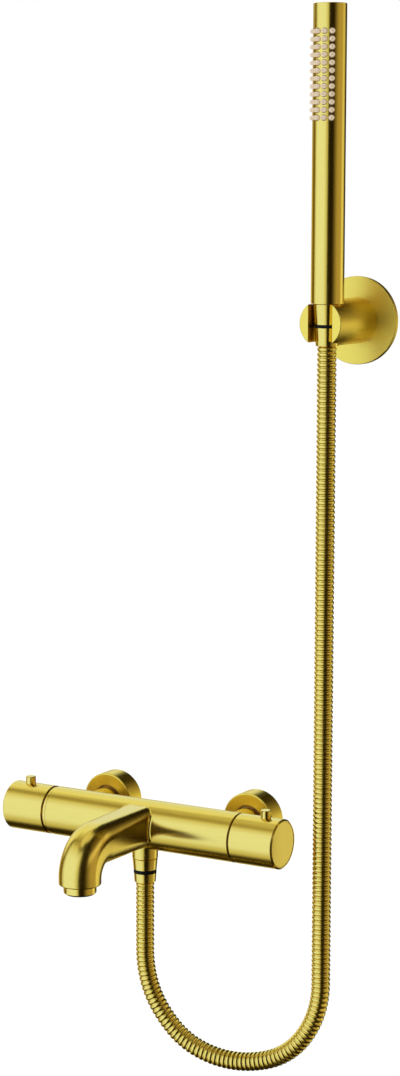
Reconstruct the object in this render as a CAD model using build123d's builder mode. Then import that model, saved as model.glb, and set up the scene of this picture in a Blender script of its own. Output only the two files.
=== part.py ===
from build123d import *
import math
import os

# A wall-mounted thermostatic bath and shower mixer with hose, hand shower and wall holder.
# Millimetres. The origin is on the wall, midway between the two inlets, level with the bar.
# +X runs along the bar to the right, +Z is up, and the mixer stands out from the wall to -Y.

# Clearances
thread_gap = 0.05
running_gap = 0.1
body_gap = 0.3
seam_gap = 1.3
nut_hole_gap = 0.4
screw_head_gap = 0.2
screw_tip_gap = 1.0
washer_margin = 0.4
collar_margin = 0.6
swivel_step = 0.1
swivel_nut_chamfer = 0.4

# Bar and knobs
inlet_spacing = 150.0
axis_to_wall = 74.0
bar_diameter = 44.0
bar_length = 282.0
knob_length = 43.0
knob_wall = 4.0
knob_end_chamfer = 1.4
knob_start_chamfer = 0.5
body_end_chamfer = 0.4
knob_web = 8.4
hub_diameter = 16.0
hub_length = 20.0
cap_diameter = 40.0
cap_thickness = 2.4
cap_recess = 0.4
cap_chamfer = 0.3
flow_ring_width = 2.8
flow_ring_seam = 0.5
flow_ring_recess = 0.8
stop_ring_depth = 4.0

# Necks, cartridges and spindles
neck_diameter = 33.0
neck_length = 6.5
cartridge_diameter = 27.0
cartridge_wall = 2.9
nut_thread_diameter = 29.0
nut_thread_length = 6.0
nut_head_length = 3.5
nut_head_flats = 27.0
flow_cartridge_length = 46.0
thermostat_length = 64.0
bearing_length = 13.8
disc_diameter = 21.0
disc_thickness = 3.0
disc_port_diameter = 5.0
spindle_diameter = 9.0
spindle_foot_diameter = 12.0
spindle_foot_length = 5.0
seal_width = 3.0
seal_wall = 2.4
knob_screw_diameter = 4.0
knob_screw_length = 14.0
knob_screw_head_diameter = 8.0
knob_screw_head_height = 3.0
knob_screw_socket_diameter = 2.8
knob_screw_socket_depth = 1.8

# Thermostat inner parts
shuttle_length = 12.0
shuttle_place = 55.0
wax_diameter = 10.0
wax_stem_diameter = 3.0
thermostat_hot_travel = 0.6
thermostat_cold_travel = 1.8
thermostat_floor = 2.5
shuttle_hole_diameter = 1.8
thermostat_wire = 1.2
thermostat_spring_diameter = 16.0
thermostat_spring_turns = 6
cartridge_port_diameter = 6.0

# Stop buttons on the knobs
button_diameter = 9.0
button_height = 6.5
button_place = 17.5
button_chamfer = 0.5
button_floor = 2.2
button_flange_diameter = 11.4
button_flange_thickness = 1.5
button_wire = 0.7
button_spring_diameter = 6.3
button_spring_turns = 4

# Inlets
inlet_boss_diameter = 25.0
inlet_boss_length = 10.0
water_channel_diameter = 6.8
wall_thread_diameter = 20.96
wall_thread_length = 14.0
union_bore = 13.0
union_body_diameter = 22.0
union_front_length = 31.0
flange_diameter = 51.0
flange_depth = 19.0
flange_wall = 1.6
flange_hole = 29.6
flange_collar_depth = 13.0
flange_collar_wall = 1.6
flange_edge_round = 1.6
shoulder_length = 4.0
shoulder_recess = 8.0
nut_start = 20.5
nut_end = 40.0
nut_diameter = 25.0
nut_lip = 2.5
nut_chamfer = 0.8
nut_flat_depth = 0.8
washer_thickness = 2.0
tail_diameter = 16.0
tail_bore = 10.0
tail_collar_length = 4.4
tail_screwed_length = 14.0
check_valve_diameter = 16.0
check_valve_length = 12.0
check_valve_bore = 10.0
check_valve_mouth = 4.0
check_valve_mouth_length = 3.0

# Spout and aerator
spout_reach = 181.0
spout_width = 33.0
spout_height = 36.0
spout_rise = 1.0
spout_corner = 9.0
spout_end_diameter = 36.5
spout_end_corner = 17.7
spout_bend_radius = 26.0
spout_end_length = 5.2
spout_bore = 20.0
spout_edge_round = 1.6
spout_root_round = 2.5
spout_bend_steps = 10
aerator_diameter = 28.6
aerator_bore = 22.0
aerator_thread_diameter = 26.0
aerator_thread_length = 9.0
aerator_height = 7.8
aerator_hole = 1.6
aerator_hole_pitch = 2.8
aerator_insert_length = 12.0
aerator_lip = 1.5
aerator_lip_width = 1.0
aerator_chamfer = 1.5
aerator_washer_thickness = 1.5

# Shower outlet and hose ends
outlet_boss_diameter = 23.2
outlet_boss_bottom = 31.1
nipple_thread_diameter = 18.0
hose_thread_diameter = 20.8
nipple_bore = 12.0
nipple_gap = 3.0
hose_nut_top_diameter = 22.6
hose_nut_length = 9.9
swivel_ring_diameter = 20.8
swivel_ring_height = 3.5
hose_sleeve_length = 8.0
hose_sleeve_end_diameter = 19.2
swivel_pin_diameter = 11.6
swivel_head_diameter = 16.0
swivel_head_height = 2.4
swivel_web = 2.6

# Hose
hose_diameter = 16.6
hose_root_diameter = 15.2
hose_bore = 9.0
hose_ribs = 200
hose_plain_end = 16.6
hose_bend_share = 0.45
rib_foot_share = 0.1
rib_shoulder_share = 0.3

# Hand shower and its hose nut
holder_side = 171.0
handset_to_wall = 58.5
handset_diameter = 28.2
handset_length = 248.0
handset_wall = 1.5
handset_edge_round = 0.375
handset_rest_gap = 0.5
cone_top_diameter = 24.4
cone_ring_diameter = 21.8
cone_length = 17.3
cone_ring_height = 2.9
cone_sleeve_length = 15.2
connector_plug_length = 10.0
connector_thread_length = 10.0
connector_bore = 12.0
inner_tube_diameter = 18.0
inner_tube_wall = 1.4
top_cap_thickness = 4.0
top_cap_recess = 0.4
limiter_thickness = 4.0
limiter_hole = 3.0
hose_washer_thickness = 2.0
hose_washer_bore = 10.0
nozzle_rows = 12
nozzle_columns = 4
nozzle_pitch = 6.43
nozzle_angle_pitch = 26.0
spray_turn = -4.0
nozzle_top_margin = 23.2
nozzle_diameter = 5.2
nozzle_tip_diameter = 4.0
nozzle_height = 3.0
nozzle_bore = 1.2
strip_thickness = 0.8
strip_margin = 1.0

# Wall holder
holder_height = 452.5
arm_diameter = 39.5
arm_length = 71.5
slot_width = 23.0
plate_diameter = 76.0
plate_thickness = 4.5
plate_wall = 1.6
plate_edge_round = 0.6
arm_spigot_diameter = 30.0
bracket_diameter = 56.0
stud_diameter = 16.0
stud_length = 24.0
stud_hole_gap = 1.0
bracket_screw_spacing = 40.0
bracket_screw_diameter = 4.5
bracket_screw_shank = 3.2
bracket_screw_thread_start = 1.0
bracket_screw_head = 8.6
bracket_screw_length = 25.0
bracket_screw_tip = 2.0
bracket_screw_socket_diameter = 2.0
bracket_screw_socket_depth = 1.0
grub_diameter = 5.0
grub_place = 14.0
grub_recess = 2.0
grub_socket_diameter = 2.0
grub_socket_depth = 2.0
arm_edge_round = 0.8

# Places worked out from the sizes above
bar_radius = bar_diameter / 2
knob_end = bar_length / 2
knob_start = knob_end - knob_length
body_end = knob_start - seam_gap
neck_end = body_end + neck_length
cavity_radius = bar_radius - knob_wall
seat_end = neck_end - nut_thread_length
cartridge_radius = cartridge_diameter / 2
flow_start = seat_end - flow_cartridge_length
thermostat_start = seat_end - thermostat_length
web_end = knob_end - cap_thickness - cap_recess
web_start = web_end - knob_web
hub_start = web_start - hub_length
spindle_end = web_start + knob_web / 3
button_distance = knob_end - button_place
handset_bottom = holder_height + math.sqrt(arm_diameter**2 - slot_width**2) / 2 + handset_rest_gap
handset_top = handset_bottom + handset_length
cone_top = handset_bottom - body_gap
swivel_top = cone_top - cone_length
swivel_bottom = swivel_top - cone_ring_height
hose_end_height = swivel_bottom - cone_sleeve_length
hose_start_height = -outlet_boss_bottom - body_gap - hose_nut_length - swivel_ring_height - hose_sleeve_length

bar_axis = Axis((0, -axis_to_wall, 0), (1, 0, 0))
outlet_axis = Axis((0, -axis_to_wall, 0), (0, 0, 1))
handset_axis = Axis((holder_side, -handset_to_wall, 0), (0, 0, 1))

# Every turned piece is drawn in a plane through its axis: first along the axis, then out from it.
bar_right = Plane(origin=bar_axis.position, x_dir=(1, 0, 0), z_dir=(0, -1, 0))
bar_left = Plane(origin=bar_axis.position, x_dir=(-1, 0, 0), z_dir=(0, 1, 0))
outlet_section = Plane(origin=outlet_axis.position, x_dir=(0, 0, 1), z_dir=(0, 1, 0))
handset_section = Plane(origin=handset_axis.position, x_dir=(0, 0, 1), z_dir=(0, 1, 0))
holder_section = Plane(origin=(holder_side, 0, holder_height), x_dir=(0, -1, 0), z_dir=(-1, 0, 0))

os.makedirs("parts", exist_ok=True)


def turned(section, *outline):
    """Spin a closed outline of (distance along the axis, radius) points about the section's own axis."""
    with BuildPart() as piece:
        with BuildSketch(section):
            with BuildLine():
                Polyline(*outline, close=True)
            make_face()
        revolve(axis=Axis(section.origin, section.x_dir))
    return piece


def tube(section, start, end, outer, inner):
    """A plain ring or tube between two distances along the section's axis."""
    return turned(section, (start, inner), (end, inner), (end, outer), (start, outer))


def across(section, distance):
    """The plane square to the section's axis at a distance along it, facing outwards."""
    return Plane(origin=section.origin + section.x_dir * distance, x_dir=section.y_dir, z_dir=section.x_dir)


def save(piece, name):
    piece.part.label = name
    export_step(piece.part, f"parts/{name}.step")


def inlet_section(x):
    return Plane(origin=(x, 0, 0), x_dir=(0, -1, 0), z_dir=(-1, 0, 0))


# Mixer body: one casting with the bar, two inlet bosses, the spout and the shower outlet boss
left_body_end = body_end - flow_ring_width
inlet_places = {"hot": -inlet_spacing / 2, "cold": inlet_spacing / 2}
boss_face = axis_to_wall - bar_radius - inlet_boss_length
spout_start = axis_to_wall + bar_radius / 3
bend_start = spout_reach - spout_bend_radius
bend_centre = (0, -bend_start, spout_rise - spout_bend_radius)
spout_end = spout_rise - spout_bend_radius - spout_end_length
water_channel_radius = water_channel_diameter / 2
water_channel_place = (cartridge_radius + bar_radius) / 2

with BuildLine() as spout_path:
    FilletPolyline(
        (0, -axis_to_wall, spout_rise),
        (0, -spout_reach, spout_rise),
        (0, -spout_reach, spout_end),
        radius=spout_bend_radius,
    )


def bend_plane(turn):
    """The plane across the spout after it has turned down by this many degrees."""
    angle = math.radians(turn)
    origin = (
        0,
        bend_centre[1] - spout_bend_radius * math.sin(angle),
        bend_centre[2] + spout_bend_radius * math.cos(angle),
    )
    return Plane(origin=origin, x_dir=(1, 0, 0), z_dir=(0, -math.cos(angle), -math.sin(angle)))


def spout_section(turn):
    """The spout's rounded section, half way to its outlet's shape at the start of the bend."""
    share = (1 + turn / 90) / 2
    RectangleRounded(
        spout_width + (spout_end_diameter - spout_width) * share,
        spout_height + (spout_end_diameter - spout_height) * share,
        spout_corner + (spout_end_corner - spout_corner) * share,
    )


with BuildPart() as mixer_body:
    with BuildSketch(Plane(origin=(0, -spout_start, spout_rise), x_dir=(1, 0, 0), z_dir=(0, -1, 0))):
        RectangleRounded(spout_width, spout_height, spout_corner)
    with BuildSketch(bend_plane(0)):
        spout_section(0)
    loft(ruled=True)
    for step in range(spout_bend_steps + 1):
        bend_turn = 90 * step / spout_bend_steps
        with BuildSketch(bend_plane(bend_turn)):
            spout_section(bend_turn)
    loft()
    with BuildSketch(bend_plane(90)):
        RectangleRounded(spout_end_diameter, spout_end_diameter, spout_end_corner)
    extrude(amount=spout_end_length)
    rim = mixer_body.faces().sort_by(Axis.Z)[0]
    fillet(rim.edges(), radius=spout_edge_round)
    with Locations(across(bar_left, -body_end)):
        Cylinder(bar_radius, body_end + left_body_end, align=(Align.CENTER, Align.CENTER, Align.MIN))
    bar_edges = mixer_body.edges().filter_by(GeomType.CIRCLE).group_by(Axis.X)
    chamfer(bar_edges[0] + bar_edges[-1], body_end_chamfer)
    root_edges = mixer_body.edges().filter_by(GeomType.BSPLINE).filter_by_position(
        Axis.Y, -axis_to_wall - bar_radius - 1, -axis_to_wall - bar_radius / 2
    )
    fillet(root_edges, radius=spout_root_round)
    with Locations(across(bar_left, -neck_end)):
        Cylinder(neck_diameter / 2, 2 * neck_end, align=(Align.CENTER, Align.CENTER, Align.MIN))
    for x in inlet_places.values():
        with Locations(across(inlet_section(x), boss_face)):
            Cylinder(
                inlet_boss_diameter / 2,
                axis_to_wall - boss_face,
                align=(Align.CENTER, Align.CENTER, Align.MIN),
            )
    with Locations(across(outlet_section, -outlet_boss_bottom)):
        Cylinder(outlet_boss_diameter / 2, outlet_boss_bottom, align=(Align.CENTER, Align.CENTER, Align.MIN))
    boss_edges = mixer_body.edges().filter_by(GeomType.CIRCLE).filter_by_position(
        Axis.Y, -axis_to_wall - 1, -axis_to_wall + 1
    )
    chamfer(boss_edges.sort_by(Axis.Z)[0], swivel_nut_chamfer)
    # Bores for the cartridges and their nuts
    for section, start in ((bar_left, flow_start), (bar_right, thermostat_start)):
        with Locations(across(section, start)):
            Cylinder(
                cartridge_radius,
                neck_end - start,
                align=(Align.CENTER, Align.CENTER, Align.MIN),
                mode=Mode.SUBTRACT,
            )
        with Locations(across(section, seat_end)):
            Cylinder(
                nut_thread_diameter / 2,
                nut_thread_length,
                align=(Align.CENTER, Align.CENTER, Align.MIN),
                mode=Mode.SUBTRACT,
            )
    # Cold water enters the thermostat bore; hot water goes behind the bores to its far end
    for x in inlet_places.values():
        with Locations(across(inlet_section(x), boss_face)):
            Cylinder(
                tail_diameter / 2,
                tail_screwed_length,
                align=(Align.CENTER, Align.CENTER, Align.MIN),
                mode=Mode.SUBTRACT,
            )
    with Locations(across(inlet_section(inlet_spacing / 2), boss_face)):
        Cylinder(
            tail_bore / 2,
            axis_to_wall - boss_face,
            align=(Align.CENTER, Align.CENTER, Align.MIN),
            mode=Mode.SUBTRACT,
        )
    hot_channel_start = (-inlet_spacing / 2, water_channel_place - axis_to_wall, 0)
    with Locations(Plane(origin=hot_channel_start, z_dir=(1, 0, 0))):
        Cylinder(
            water_channel_radius,
            inlet_spacing / 2 + thermostat_start + cartridge_port_diameter,
            align=(Align.CENTER, Align.CENTER, Align.MIN),
            mode=Mode.SUBTRACT,
        )
    hot_port_place = (thermostat_start + cartridge_port_diameter, water_channel_place - axis_to_wall, 0)
    with Locations(Plane(origin=hot_port_place, z_dir=(0, -1, 0))):
        Cylinder(
            water_channel_radius,
            water_channel_place,
            align=(Align.CENTER, Align.CENTER, Align.MIN),
            mode=Mode.SUBTRACT,
        )
    # Mixed water crosses from the thermostat to the flow cartridge, then to the spout and the hose
    for height in (-water_channel_place / 2, water_channel_place / 2):
        with Locations(Plane(origin=(-flow_start, -axis_to_wall, height), z_dir=(1, 0, 0))):
            Cylinder(
                water_channel_radius,
                flow_start + (thermostat_start if height > 0 else 0),
                align=(Align.CENTER, Align.CENTER, Align.MIN),
                mode=Mode.SUBTRACT,
            )
    with BuildSketch(Plane(origin=(0, -axis_to_wall, spout_rise), x_dir=(1, 0, 0), z_dir=(0, -1, 0))):
        Circle(spout_bore / 2)
    sweep(path=spout_path.line, mode=Mode.SUBTRACT)
    with Locations(across(outlet_section, -outlet_boss_bottom)):
        Cylinder(
            nipple_thread_diameter / 2,
            outlet_boss_bottom - bar_radius / 2,
            align=(Align.CENTER, Align.CENTER, Align.MIN),
            mode=Mode.SUBTRACT,
        )
    with Locations(Plane(origin=(0, -spout_reach, spout_end), z_dir=(0, 0, 1))):
        Cylinder(
            aerator_thread_diameter / 2,
            aerator_thread_length,
            align=(Align.CENTER, Align.CENTER, Align.MIN),
            mode=Mode.SUBTRACT,
        )
save(mixer_body, "mixer_body")

# Aerator: a ring screwed up into the spout, with a flow former and a washer
aerator_section = Plane(origin=(0, -spout_reach, spout_end), x_dir=(0, 0, -1), z_dir=(0, -1, 0))
aerator_outer = aerator_diameter / 2
aerator_inner = aerator_bore / 2
aerator_thread = aerator_thread_diameter / 2 - thread_gap
thread_start = aerator_washer_thickness - aerator_thread_length
lip_start = aerator_height - aerator_lip
aerator_housing = turned(
    aerator_section,
    (thread_start, aerator_inner),
    (lip_start, aerator_inner),
    (lip_start, aerator_inner - aerator_lip_width),
    (aerator_height, aerator_inner - aerator_lip_width),
    (aerator_height, aerator_outer - aerator_chamfer),
    (aerator_height - aerator_chamfer, aerator_outer),
    (0, aerator_outer),
    (0, aerator_thread),
    (thread_start, aerator_thread),
)
save(aerator_housing, "aerator_housing")

with BuildPart() as aerator_insert:
    with Locations(across(aerator_section, lip_start - aerator_insert_length)):
        Cylinder(
            aerator_inner - thread_gap,
            aerator_insert_length,
            align=(Align.CENTER, Align.CENTER, Align.MIN),
        )
    with BuildSketch(across(aerator_section, lip_start)):
        with HexLocations(aerator_hole_pitch / 2, 6, 6):
            Circle(aerator_hole / 2)
    extrude(amount=-aerator_insert_length, mode=Mode.SUBTRACT)
save(aerator_insert, "aerator_insert")

aerator_washer = tube(
    aerator_section,
    -aerator_thread_length,
    thread_start,
    aerator_thread,
    spout_bore / 2,
)
save(aerator_washer, "aerator_washer")

# Inlets: wall union, flange, check valve, filter washer, union nut and screwed tail, hot and cold
with BuildPart() as inlet_union_nuts:
    for x in inlet_places.values():
        nut = turned(
            inlet_section(x),
            (nut_start, wall_thread_diameter / 2),
            (nut_end - nut_lip, wall_thread_diameter / 2),
            (nut_end - nut_lip, tail_diameter / 2 + running_gap),
            (nut_end, tail_diameter / 2 + running_gap),
            (nut_end, nut_diameter / 2 - nut_chamfer),
            (nut_end - nut_chamfer, nut_diameter / 2),
            (nut_start + nut_chamfer, nut_diameter / 2),
            (nut_start, nut_diameter / 2 - nut_chamfer),
        )
        add(nut.part)
        for side in (-1, 1):
            with Locations((x, -(nut_start + nut_end) / 2, side * nut_diameter / 2)):
                Box(nut_diameter, (nut_end - nut_start) / 2, 2 * nut_flat_depth, mode=Mode.SUBTRACT)
save(inlet_union_nuts, "inlet_union_nuts")

washer_start = union_front_length
washer_end = washer_start + washer_thickness
with BuildPart() as inlet_filter_washers:
    for x in inlet_places.values():
        washer_outer = wall_thread_diameter / 2 - washer_margin
        add(tube(inlet_section(x), washer_start, washer_end, washer_outer, tail_bore / 2).part)
save(inlet_filter_washers, "inlet_filter_washers")

valve_radius = check_valve_diameter / 2 - thread_gap
valve_start = union_front_length - check_valve_length
with BuildPart() as inlet_check_valves:
    for x in inlet_places.values():
        valve = turned(
            inlet_section(x),
            (valve_start, check_valve_mouth / 2),
            (valve_start + check_valve_mouth_length, check_valve_mouth / 2),
            (valve_start + 2 * check_valve_mouth_length, check_valve_bore / 2),
            (union_front_length, check_valve_bore / 2),
            (union_front_length, valve_radius),
            (valve_start, valve_radius),
        )
        add(valve.part)
save(inlet_check_valves, "inlet_check_valves")

for side, x in inlet_places.items():
    section = inlet_section(x)
    shoulder_end = flange_depth - shoulder_recess
    wall_union = turned(
        section,
        (-wall_thread_length, union_bore / 2),
        (valve_start, union_bore / 2),
        (valve_start, check_valve_diameter / 2),
        (union_front_length, check_valve_diameter / 2),
        (union_front_length, wall_thread_diameter / 2 - thread_gap),
        (shoulder_end, wall_thread_diameter / 2 - thread_gap),
        (shoulder_end, flange_hole / 2 - body_gap),
        (shoulder_end - shoulder_length, flange_hole / 2 - body_gap),
        (shoulder_end - shoulder_length, union_body_diameter / 2),
        (0, union_body_diameter / 2),
        (0, wall_thread_diameter / 2),
        (-wall_thread_length, wall_thread_diameter / 2),
    )
    save(wall_union, f"{side}_wall_union")

    with BuildPart() as flange:
        with Locations(across(section, 0)):
            Cylinder(flange_diameter / 2, flange_depth, align=(Align.CENTER, Align.CENTER, Align.MIN))
            Cylinder(
                flange_diameter / 2 - flange_wall,
                flange_depth - flange_wall,
                align=(Align.CENTER, Align.CENTER, Align.MIN),
                mode=Mode.SUBTRACT,
            )
        with Locations(across(section, flange_depth - flange_collar_depth)):
            Cylinder(
                flange_hole / 2 + flange_collar_wall,
                flange_collar_depth - flange_wall / 2,
                align=(Align.CENTER, Align.CENTER, Align.MIN),
            )
        with Locations(across(section, 0)):
            Cylinder(
                flange_hole / 2,
                flange_depth,
                align=(Align.CENTER, Align.CENTER, Align.MIN),
                mode=Mode.SUBTRACT,
            )
        front_edges = flange.edges().filter_by(GeomType.CIRCLE).group_by(Axis.Y)[0]
        fillet(front_edges.sort_by(SortBy.RADIUS)[-1], radius=min(flange_edge_round, 0.9 * flange_wall))
    save(flange, f"{side}_flange")

    inlet_tail = turned(
        section,
        (washer_end, tail_bore / 2),
        (boss_face + tail_screwed_length, tail_bore / 2),
        (boss_face + tail_screwed_length, tail_diameter / 2 - thread_gap),
        (washer_end + tail_collar_length, tail_diameter / 2 - thread_gap),
        (washer_end + tail_collar_length, wall_thread_diameter / 2 - collar_margin),
        (washer_end, wall_thread_diameter / 2 - collar_margin),
    )
    save(inlet_tail, f"{side}_inlet_tail")

# Knob sets: flow on the left, temperature on the right
knob_sections = {"flow": bar_left, "temperature": bar_right}
hub_radius = hub_diameter / 2
spindle_radius = spindle_diameter / 2
button_seat = spindle_radius + button_floor
button_flange_top = math.sqrt(cavity_radius**2 - (button_flange_diameter / 2) ** 2) - body_gap
button_flange_bottom = button_flange_top - button_flange_thickness
button_top = bar_radius + button_height
nut_hole_radius = spindle_radius + nut_hole_gap

for name, section in knob_sections.items():
    with BuildPart() as knob:
        with Locations(across(section, knob_start)):
            Cylinder(bar_radius, knob_length, align=(Align.CENTER, Align.CENTER, Align.MIN))
        end_edges = knob.edges().filter_by(GeomType.CIRCLE).sort_by(Axis.X, reverse=name == "flow")
        chamfer(end_edges[0], knob_start_chamfer)
        chamfer(end_edges[-1], knob_end_chamfer)
        with Locations(across(section, knob_start)):
            Cylinder(
                cavity_radius,
                web_start - knob_start,
                align=(Align.CENTER, Align.CENTER, Align.MIN),
                mode=Mode.SUBTRACT,
            )
        with Locations(across(section, hub_start)):
            Cylinder(hub_radius, hub_length, align=(Align.CENTER, Align.CENTER, Align.MIN))
            Cylinder(
                spindle_radius,
                spindle_end - hub_start,
                align=(Align.CENTER, Align.CENTER, Align.MIN),
                mode=Mode.SUBTRACT,
            )
        with Locations(across(section, web_end)):
            CounterBoreHole(
                knob_screw_diameter / 2 + thread_gap,
                knob_screw_head_diameter / 2 + screw_head_gap,
                knob_screw_head_height,
                depth=web_end - hub_start,
            )
            Cylinder(
                cap_diameter / 2,
                knob_end - web_end,
                align=(Align.CENTER, Align.CENTER, Align.MIN),
                mode=Mode.SUBTRACT,
            )
        button_plane = Plane(
            origin=section.origin + section.x_dir * button_distance + Vector(0, 0, button_seat),
            z_dir=(0, 0, 1),
        )
        with Locations(button_plane):
            Cylinder(
                button_diameter / 2 + running_gap,
                bar_radius,
                align=(Align.CENTER, Align.CENTER, Align.MIN),
                mode=Mode.SUBTRACT,
            )
    save(knob, f"{name}_knob")

    knob_cap = turned(
        section,
        (web_end, 0),
        (web_end + cap_thickness, 0),
        (web_end + cap_thickness, cap_diameter / 2 - thread_gap - cap_chamfer),
        (web_end + cap_thickness - cap_chamfer, cap_diameter / 2 - thread_gap),
        (web_end, cap_diameter / 2 - thread_gap),
    )
    save(knob_cap, f"{name}_knob_cap")

    screw_top = web_end - thread_gap
    screw_seat = web_end - knob_screw_head_height
    knob_screw = turned(
        section,
        (screw_seat - knob_screw_length, 0),
        (screw_top - knob_screw_socket_depth, 0),
        (screw_top - knob_screw_socket_depth, knob_screw_socket_diameter / 2),
        (screw_top, knob_screw_socket_diameter / 2),
        (screw_top, knob_screw_head_diameter / 2),
        (screw_seat, knob_screw_head_diameter / 2),
        (screw_seat, knob_screw_diameter / 2),
        (screw_seat - knob_screw_length, knob_screw_diameter / 2),
    )
    save(knob_screw, f"{name}_knob_screw")

    # The spindle's foot sits in the cartridge; its outer end takes the knob and the knob's screw
    foot_end = seat_end - bearing_length - running_gap
    screw_hole = knob_screw_diameter / 2 + thread_gap
    spindle = turned(
        section,
        (foot_end - spindle_foot_length, 0),
        (screw_seat - knob_screw_length - screw_tip_gap, 0),
        (screw_seat - knob_screw_length - screw_tip_gap, screw_hole),
        (spindle_end, screw_hole),
        (spindle_end, spindle_radius - thread_gap),
        (foot_end, spindle_radius - thread_gap),
        (foot_end, spindle_foot_diameter / 2),
        (foot_end - spindle_foot_length, spindle_foot_diameter / 2),
    )
    save(spindle, f"{name}_spindle")

    spindle_seal = tube(
        section,
        seat_end - seal_width,
        seat_end,
        spindle_radius + seal_wall - thread_gap,
        spindle_radius + thread_gap,
    )
    save(spindle_seal, f"{name}_spindle_seal")

    with BuildPart() as cartridge_nut:
        with Locations(across(section, seat_end)):
            Cylinder(
                nut_thread_diameter / 2 - thread_gap,
                nut_thread_length,
                align=(Align.CENTER, Align.CENTER, Align.MIN),
            )
        with BuildSketch(across(section, neck_end)):
            RegularPolygon(nut_head_flats / 2, 6, major_radius=False)
        extrude(amount=nut_head_length)
        with Locations(across(section, seat_end)):
            Cylinder(
                nut_hole_radius,
                nut_thread_length + nut_head_length,
                align=(Align.CENTER, Align.CENTER, Align.MIN),
                mode=Mode.SUBTRACT,
            )
    save(cartridge_nut, f"{name}_cartridge_nut")

    with BuildPart() as button:
        with Locations(button_plane.offset(button_flange_bottom - button_seat)):
            Cylinder(
                button_flange_diameter / 2,
                button_flange_thickness,
                align=(Align.CENTER, Align.CENTER, Align.MIN),
            )
            Cylinder(
                button_diameter / 2,
                button_top - button_flange_bottom,
                align=(Align.CENTER, Align.CENTER, Align.MIN),
            )
        chamfer(button.edges().filter_by(GeomType.CIRCLE).group_by(Axis.Z)[-1], button_chamfer)
    save(button, f"{name}_button")

    spring_height = button_flange_bottom - button_seat - button_wire
    with BuildPart() as button_spring:
        with BuildLine(button_plane.offset(button_wire / 2)) as coil:
            Helix(spring_height / button_spring_turns, spring_height, button_spring_diameter / 2)
        with BuildSketch(Plane(origin=coil.line @ 0, z_dir=coil.line % 0)):
            Circle(button_wire / 2)
        sweep(path=coil.line, is_frenet=True)
    save(button_spring, f"{name}_button_spring")

# Stop rings on the body's necks; the flow side's ring shows as a thin band beside its knob
neck_radius = neck_diameter / 2 + thread_gap
ring_radius = cavity_radius - body_gap
flow_stop_ring = turned(
    bar_left,
    (left_body_end, neck_radius),
    (body_end + stop_ring_depth, neck_radius),
    (body_end + stop_ring_depth, ring_radius),
    (body_end, ring_radius),
    (body_end, bar_radius - flow_ring_recess),
    (left_body_end + flow_ring_seam, bar_radius - flow_ring_recess),
    (left_body_end + flow_ring_seam, ring_radius),
    (left_body_end, ring_radius),
)
save(flow_stop_ring, "flow_stop_ring")
temperature_stop_ring = tube(bar_right, body_end, body_end + stop_ring_depth, ring_radius, neck_radius)
save(temperature_stop_ring, "temperature_stop_ring")

# Flow cartridge: its housing holds a fixed and a turning ceramic disc
housing_radius = cartridge_radius - thread_gap
pocket_radius = cartridge_radius - cartridge_wall
foot_start = seat_end - bearing_length - running_gap - spindle_foot_length
disc_stack_end = foot_start
disc_stack_start = disc_stack_end - 2 * disc_thickness - running_gap


def housing_outline(start, floor_end):
    """Outline of a cartridge housing with a closed floor, a pocket, a bearing and a seal seat."""
    bearing_start = seat_end - bearing_length
    seal_radius = spindle_radius + seal_wall
    return (
        (start, 0),
        (floor_end, 0),
        (floor_end, pocket_radius),
        (bearing_start, pocket_radius),
        (bearing_start, spindle_radius + thread_gap),
        (seat_end - seal_width, spindle_radius + thread_gap),
        (seat_end - seal_width, seal_radius),
        (seat_end, seal_radius),
        (seat_end, housing_radius),
        (start, housing_radius),
    )


with BuildPart() as flow_cartridge:
    add(turned(bar_left, *housing_outline(flow_start, disc_stack_start)).part)
    with BuildSketch(across(bar_left, flow_start)):
        with PolarLocations(disc_diameter / 4, 3):
            Circle(disc_port_diameter / 2)
    extrude(amount=disc_stack_start - flow_start, mode=Mode.SUBTRACT)
save(flow_cartridge, "flow_cartridge")

with BuildPart() as flow_fixed_disc:
    with BuildSketch(across(bar_left, disc_stack_start)):
        Circle(pocket_radius - thread_gap)
        with PolarLocations(disc_diameter / 4, 3):
            Circle(disc_port_diameter / 2, mode=Mode.SUBTRACT)
    extrude(amount=disc_thickness)
save(flow_fixed_disc, "flow_fixed_disc")

with BuildPart() as flow_turning_disc:
    with BuildSketch(across(bar_left, disc_stack_end - disc_thickness)):
        Circle(disc_diameter / 2 - body_gap)
        with PolarLocations(disc_diameter / 4, 1):
            Circle(disc_port_diameter / 2, mode=Mode.SUBTRACT)
    extrude(amount=disc_thickness)
save(flow_turning_disc, "flow_turning_disc")

# Thermostat: the wax element moves a shuttle between the hot ports and the cold ports
with BuildPart() as thermostat_housing:
    add(turned(bar_right, *housing_outline(thermostat_start, thermostat_start + thermostat_floor)).part)
    for place in (thermostat_start + cartridge_port_diameter, inlet_spacing / 2):
        with Locations(across(bar_right, place)):
            with PolarLocations(0, 4):
                Cylinder(
                    cartridge_port_diameter / 2,
                    2 * cartridge_radius,
                    rotation=(90, 0, 0),
                    mode=Mode.SUBTRACT,
                )
    with BuildSketch(across(bar_right, thermostat_start)):
        with PolarLocations(pocket_radius / 2, 4):
            Circle(disc_port_diameter / 2)
    extrude(amount=thermostat_floor, mode=Mode.SUBTRACT)
save(thermostat_housing, "thermostat_housing")

wax_radius = wax_diameter / 2
wax_start = thermostat_start + thermostat_floor + thermostat_cold_travel + body_gap
wax_end = shuttle_place + shuttle_length / 2
stem_end = foot_start - thermostat_hot_travel - body_gap
wax_element = turned(
    bar_right,
    (wax_start, 0),
    (stem_end, 0),
    (stem_end, wax_stem_diameter / 2),
    (wax_end, wax_stem_diameter / 2),
    (wax_end, wax_radius),
    (wax_start, wax_radius),
)
save(wax_element, "wax_element")

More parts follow.
